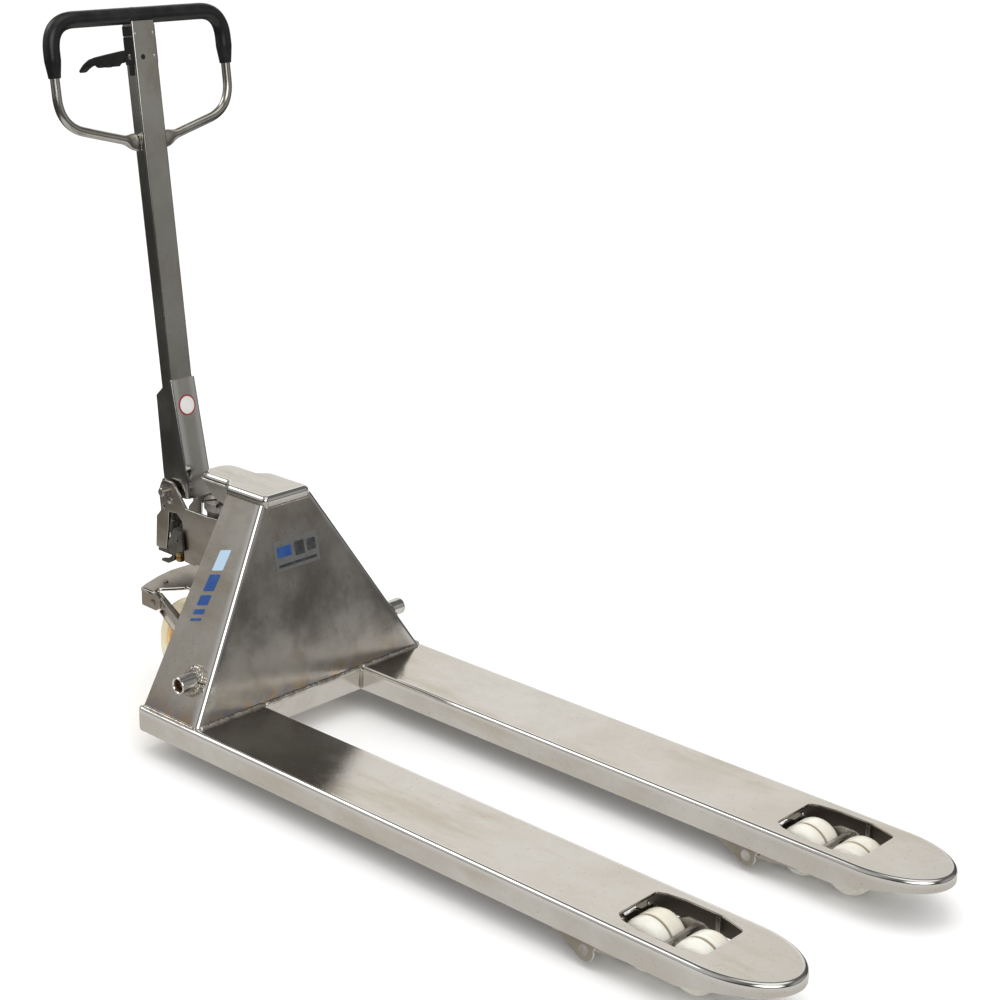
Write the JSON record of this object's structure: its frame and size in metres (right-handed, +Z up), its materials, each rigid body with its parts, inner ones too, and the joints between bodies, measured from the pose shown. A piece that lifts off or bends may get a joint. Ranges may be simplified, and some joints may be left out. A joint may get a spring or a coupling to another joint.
{
  "type": "hand pallet truck",
  "caption": "Stainless steel hand pallet truck: forks on tandem load rollers, a steered hydraulic pump unit and a leaning tiller with a looped grip and finger lever.",
  "frame": {"origin": "middle of the bounding box, on the floor", "axes": "+X from the tiller towards the fork tips, +Y to the left of someone who looks along +X, +Z up"},
  "size_m": [1.7442, 0.54, 1.201],
  "materials": {
    "satin_steel": "satin",
    "bright_steel": "polished",
    "cast_steel": "as cast",
    "spring_steel": "dark drawn wire",
    "brass": "turned",
    "white_nylon": "smooth",
    "cream_nylon": "smooth",
    "amber_nylon": "moulded",
    "black_rubber": "soft satin",
    "black_plastic": "moulded"
  },
  "bodies": {
    "chassis": {"fork_left": "satin_steel", "fork_right": "satin_steel", "load_arm_pin_left": "bright_steel", "load_arm_pin_right": "bright_steel", "hood_side_panel_left": "satin_steel", "hood_side_panel_right": "satin_steel", "shaft_boss_left": "bright_steel", "shaft_boss_right": "bright_steel", "cross_beam": "satin_steel", "hood_front_panel": "satin_steel", "hood_cap": "satin_steel", "lift_ram": "bright_steel"},
    "carrier": {"bearing_plate": "satin_steel", "thrust_bearing": "bright_steel"},
    "rocker": {"torsion_shaft": "bright_steel", "rear_arm_left": "satin_steel", "rear_arm_right": "satin_steel", "crank_left": "satin_steel", "crank_right": "satin_steel"},
    "pump": {"pump_base": "cast_steel", "pump_body": "cast_steel", "pump_cylinder": "cast_steel", "gland_nut": "bright_steel", "plunger_housing": "cast_steel", "release_valve": "brass", "tiller_pin": "bright_steel", "wheel_axle": "bright_steel", "tiller_ear_left": "satin_steel", "tiller_ear_right": "satin_steel"},
    "plunger": {"plunger": "bright_steel", "plunger_spring": "spring_steel"},
    "release_lever": {"release_lever": "cast_steel"},
    "tiller": {"tiller_foot": "satin_steel", "tiller_tube": "satin_steel", "press_roller_pin": "bright_steel", "handle_loop": "bright_steel", "handle_grip": "black_rubber", "tiller_top_plug": "black_plastic", "lever_pin": "bright_steel"},
    "press_roller": {"press_roller": "bright_steel"},
    "finger_lever": {"finger_lever": "black_plastic"},
    "control_rod": {"control_rod": "spring_steel"},
    "push_rod_left": {"push_rod_left": "bright_steel"},
    "load_arm_left": {"load_arm_left": "satin_steel"},
    "bogie_left": {"bogie_left": "satin_steel", "roller_axle_left_front": "bright_steel", "roller_axle_left_rear": "bright_steel"},
    "load_roller_left_front": {"load_roller_left_front": "white_nylon"},
    "load_roller_left_rear": {"load_roller_left_rear": "white_nylon"},
    "steer_wheel_left": {"steer_tyre_left": "cream_nylon", "steer_hub_left": "amber_nylon"},
    "push_rod_right": {"push_rod_right": "bright_steel"},
    "load_arm_right": {"load_arm_right": "satin_steel"},
    "bogie_right": {"bogie_right": "satin_steel", "roller_axle_right_front": "bright_steel", "roller_axle_right_rear": "bright_steel"},
    "load_roller_right_front": {"load_roller_right_front": "white_nylon"},
    "load_roller_right_rear": {"load_roller_right_rear": "white_nylon"},
    "steer_wheel_right": {"steer_tyre_right": "cream_nylon", "steer_hub_right": "amber_nylon"}
  },
  "joints": [
    {"name": "fork_lift", "type": "slide", "parent": "chassis", "child": "carrier", "axis": [0, 0, -1], "range_m": [0, 0.11]},
    {"name": "rocker_turn", "type": "hinge", "parent": "chassis", "child": "rocker", "pos_m": [-0.32689, 0, 0.148], "axis": [0, -1, 0], "range_deg": [0, 26]},
    {"name": "steering", "type": "hinge", "parent": "carrier", "child": "pump", "pos_m": [-0.50289, 0, 0.2], "axis": [0, 0, 1], "range_deg": [-100, 100]},
    {"name": "tiller_tilt", "type": "hinge", "parent": "pump", "child": "tiller", "pos_m": [-0.61889, 0, 0.367], "axis": [0, -1, 0], "range_deg": [0, 75], "stiffness_Nm_per_rad": 20, "springref_deg": -17.19},
    {"name": "plunger_stroke", "type": "slide", "parent": "pump", "child": "plunger", "axis": [0, 0, -1], "range_m": [0, 0.0246], "deforming": ["plunger_spring"]},
    {"name": "press_roller_spin", "type": "hinge", "parent": "tiller", "child": "press_roller", "pos_m": [-0.63484, 0, 0.37897], "axis": [0, 1, 0], "continuous": true},
    {"name": "finger_lever_turn", "type": "hinge", "parent": "tiller", "child": "finger_lever", "pos_m": [-0.7007, 0, 1.11971], "axis": [0, 1, 0], "range_deg": [-12, 16], "stiffness_Nm_per_rad": 6},
    {"name": "control_rod_slide", "type": "slide", "parent": "tiller", "child": "control_rod", "axis": [-0.1271, 0, 0.9919], "range_m": [-0.003, 0.003]},
    {"name": "release_lever_turn", "type": "hinge", "parent": "pump", "child": "release_lever", "pos_m": [-0.60589, 0, 0.3], "axis": [0, 1, 0], "range_deg": [-9, 9]},
    {"name": "push_rod_left_turn", "type": "hinge", "parent": "rocker", "child": "push_rod_left", "pos_m": [-0.34703, 0.1925, 0.06028], "axis": [0, 1, 0], "range_deg": [0, 26]},
    {"name": "load_arm_left_turn", "type": "hinge", "parent": "chassis", "child": "load_arm_left", "pos_m": [0.56211, 0.1925, 0.03], "axis": [0, 1, 0], "range_deg": [0, 75.5]},
    {"name": "bogie_left_tilt", "type": "hinge", "parent": "load_arm_left", "child": "bogie_left", "pos_m": [0.66811, 0.1925, 0.04], "axis": [0, -1, 0], "range_deg": [0, 75.5]},
    {"name": "load_roller_left_front_spin", "type": "hinge", "parent": "bogie_left", "child": "load_roller_left_front", "pos_m": [0.71111, 0.1925, 0.04], "axis": [0, 1, 0], "continuous": true},
    {"name": "load_roller_left_rear_spin", "type": "hinge", "parent": "bogie_left", "child": "load_roller_left_rear", "pos_m": [0.62511, 0.1925, 0.04], "axis": [0, 1, 0], "continuous": true},
    {"name": "steer_wheel_left_spin", "type": "hinge", "parent": "pump", "child": "steer_wheel_left", "pos_m": [-0.50289, 0.055, 0.1], "axis": [0, 1, 0], "continuous": true},
    {"name": "push_rod_right_turn", "type": "hinge", "parent": "rocker", "child": "push_rod_right", "pos_m": [-0.34703, -0.1925, 0.06028], "axis": [0, 1, 0], "range_deg": [0, 26]},
    {"name": "load_arm_right_turn", "type": "hinge", "parent": "chassis", "child": "load_arm_right", "pos_m": [0.56211, -0.1925, 0.03], "axis": [0, 1, 0], "range_deg": [0, 75.5]},
    {"name": "bogie_right_tilt", "type": "hinge", "parent": "load_arm_right", "child": "bogie_right", "pos_m": [0.66811, -0.1925, 0.04], "axis": [0, -1, 0], "range_deg": [0, 75.5]},
    {"name": "load_roller_right_front_spin", "type": "hinge", "parent": "bogie_right", "child": "load_roller_right_front", "pos_m": [0.71111, -0.1925, 0.04], "axis": [0, 1, 0], "continuous": true},
    {"name": "load_roller_right_rear_spin", "type": "hinge", "parent": "bogie_right", "child": "load_roller_right_rear", "pos_m": [0.62511, -0.1925, 0.04], "axis": [0, 1, 0], "continuous": true},
    {"name": "steer_wheel_right_spin", "type": "hinge", "parent": "pump", "child": "steer_wheel_right", "pos_m": [-0.50289, -0.055, 0.1], "axis": [0, 1, 0], "continuous": true}
  ],
  "couplings": [
    {"joint": "rocker_turn", "follows": "fork_lift", "rad_per_m": 4.1012},
    {"joint": "push_rod_left_turn", "follows": "fork_lift", "rad_per_m": 4.1012},
    {"joint": "load_arm_left_turn", "follows": "fork_lift", "rad_per_m": 11.951},
    {"joint": "bogie_left_tilt", "follows": "fork_lift", "rad_per_m": 11.951},
    {"joint": "push_rod_right_turn", "follows": "fork_lift", "rad_per_m": 4.1012},
    {"joint": "load_arm_right_turn", "follows": "fork_lift", "rad_per_m": 11.951},
    {"joint": "bogie_right_tilt", "follows": "fork_lift", "rad_per_m": 11.951},
    {"joint": "plunger_stroke", "follows": "tiller_tilt", "m_per_rad": 0.0186},
    {"joint": "control_rod_slide", "follows": "finger_lever_turn", "m_per_rad": -0.006},
    {"joint": "release_lever_turn", "follows": "finger_lever_turn", "ratio": -0.5}
  ]
}
